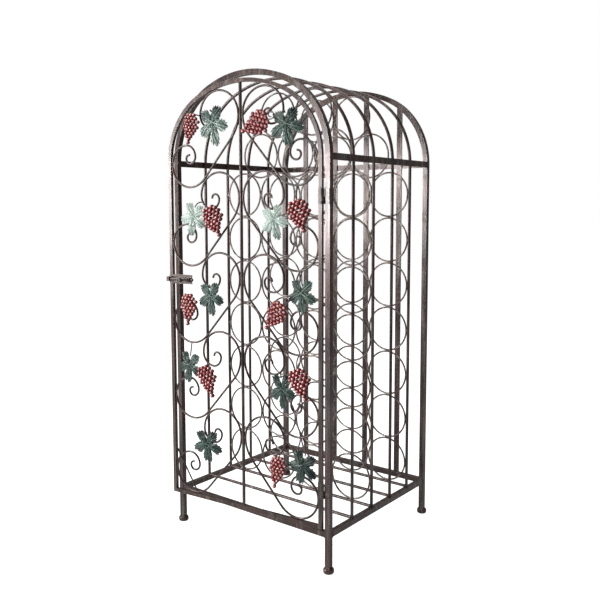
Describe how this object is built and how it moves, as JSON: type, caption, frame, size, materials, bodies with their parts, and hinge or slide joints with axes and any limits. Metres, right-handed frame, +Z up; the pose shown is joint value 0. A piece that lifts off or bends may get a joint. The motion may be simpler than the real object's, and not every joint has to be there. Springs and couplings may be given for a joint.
{
  "type": "wine rack",
  "caption": "Arched wrought-iron wine rack: bottles lie through two walls of wire rings behind a hinged, bolted scrollwork door with vine leaves and grapes.",
  "frame": {"origin": "bottom centre of the whole object's box at rest, on the floor, with the door standing slightly open", "axes": "+Z up, +Y from the front door to the back, +X to the right as seen from the front"},
  "size_m": [0.397, 0.4044, 0.9029],
  "materials": {
    "antique_bronze": "antique brown-bronze paint, hand-rubbed light along the edges",
    "ring_wire": "antique brown-bronze paint on wire, satin",
    "fittings": "dark bronze paint, slightly worn",
    "verdigris_leaf": "verdigris green wash over dark bronze",
    "red_berry": "pearly red paint with a soft gloss"
  },
  "bodies": {
    "frame": {"bottom_rail_front": "antique_bronze", "bottom_rail_left": "antique_bronze", "bottom_rail_rear": "antique_bronze", "bottom_rail_right": "antique_bronze", "floor_rod_1": "antique_bronze", "floor_rod_2": "antique_bronze", "floor_rod_3": "antique_bronze", "floor_rod_4": "antique_bronze", "foot_front_left": "antique_bronze", "foot_front_right": "antique_bronze", "foot_rear_left": "antique_bronze", "foot_rear_right": "antique_bronze", "front_arch": "antique_bronze", "front_post_left": "antique_bronze", "front_post_right": "antique_bronze", "front_rack_rings": "ring_wire", "hinge_leaves_frame": "fittings", "hinge_pins": "fittings", "hoop_1": "antique_bronze", "hoop_2": "antique_bronze", "hoop_3": "antique_bronze", "hoop_4": "antique_bronze", "latch_keeper": "fittings", "rear_arch": "antique_bronze", "rear_post_left": "antique_bronze", "rear_post_right": "antique_bronze", "rear_rack_rings": "ring_wire", "rear_slat_1": "antique_bronze", "rear_slat_2": "antique_bronze", "rear_slat_3": "antique_bronze", "rear_slat_4": "antique_bronze", "shoulder_bar_left": "antique_bronze", "shoulder_bar_rear": "antique_bronze", "shoulder_bar_right": "antique_bronze"},
    "door": {"door_arch": "antique_bronze", "door_bottom_rail": "antique_bronze", "door_centre_rod": "antique_bronze", "door_corner_stay": "antique_bronze", "door_stile_left": "antique_bronze", "door_stile_right": "antique_bronze", "grape_clusters_left": "red_berry", "grape_clusters_right": "red_berry", "hinge_leaves_door": "fittings", "latch_body": "fittings", "scroll_left_1": "antique_bronze", "scroll_left_2": "antique_bronze", "scroll_left_3": "antique_bronze", "scroll_left_4": "antique_bronze", "scroll_left_5": "antique_bronze", "scroll_right_1": "antique_bronze", "scroll_right_2": "antique_bronze", "scroll_right_3": "antique_bronze", "scroll_right_4": "antique_bronze", "scroll_right_5": "antique_bronze", "vine_leaves_left": "verdigris_leaf", "vine_leaves_right": "verdigris_leaf"},
    "bolt": {"latch_bolt": "fittings"}
  },
  "joints": [
    {"name": "door_hinge", "type": "hinge", "parent": "frame", "child": "door", "pos_m": [0.17975, -0.15227, 0.071], "axis": [0, 0, 1], "range_deg": [-5.5, 115]},
    {"name": "bolt_slide", "type": "slide", "parent": "door", "child": "bolt", "axis": [-0.9954, -0.0958, 0], "range_m": [0, 0.016]}
  ]
}
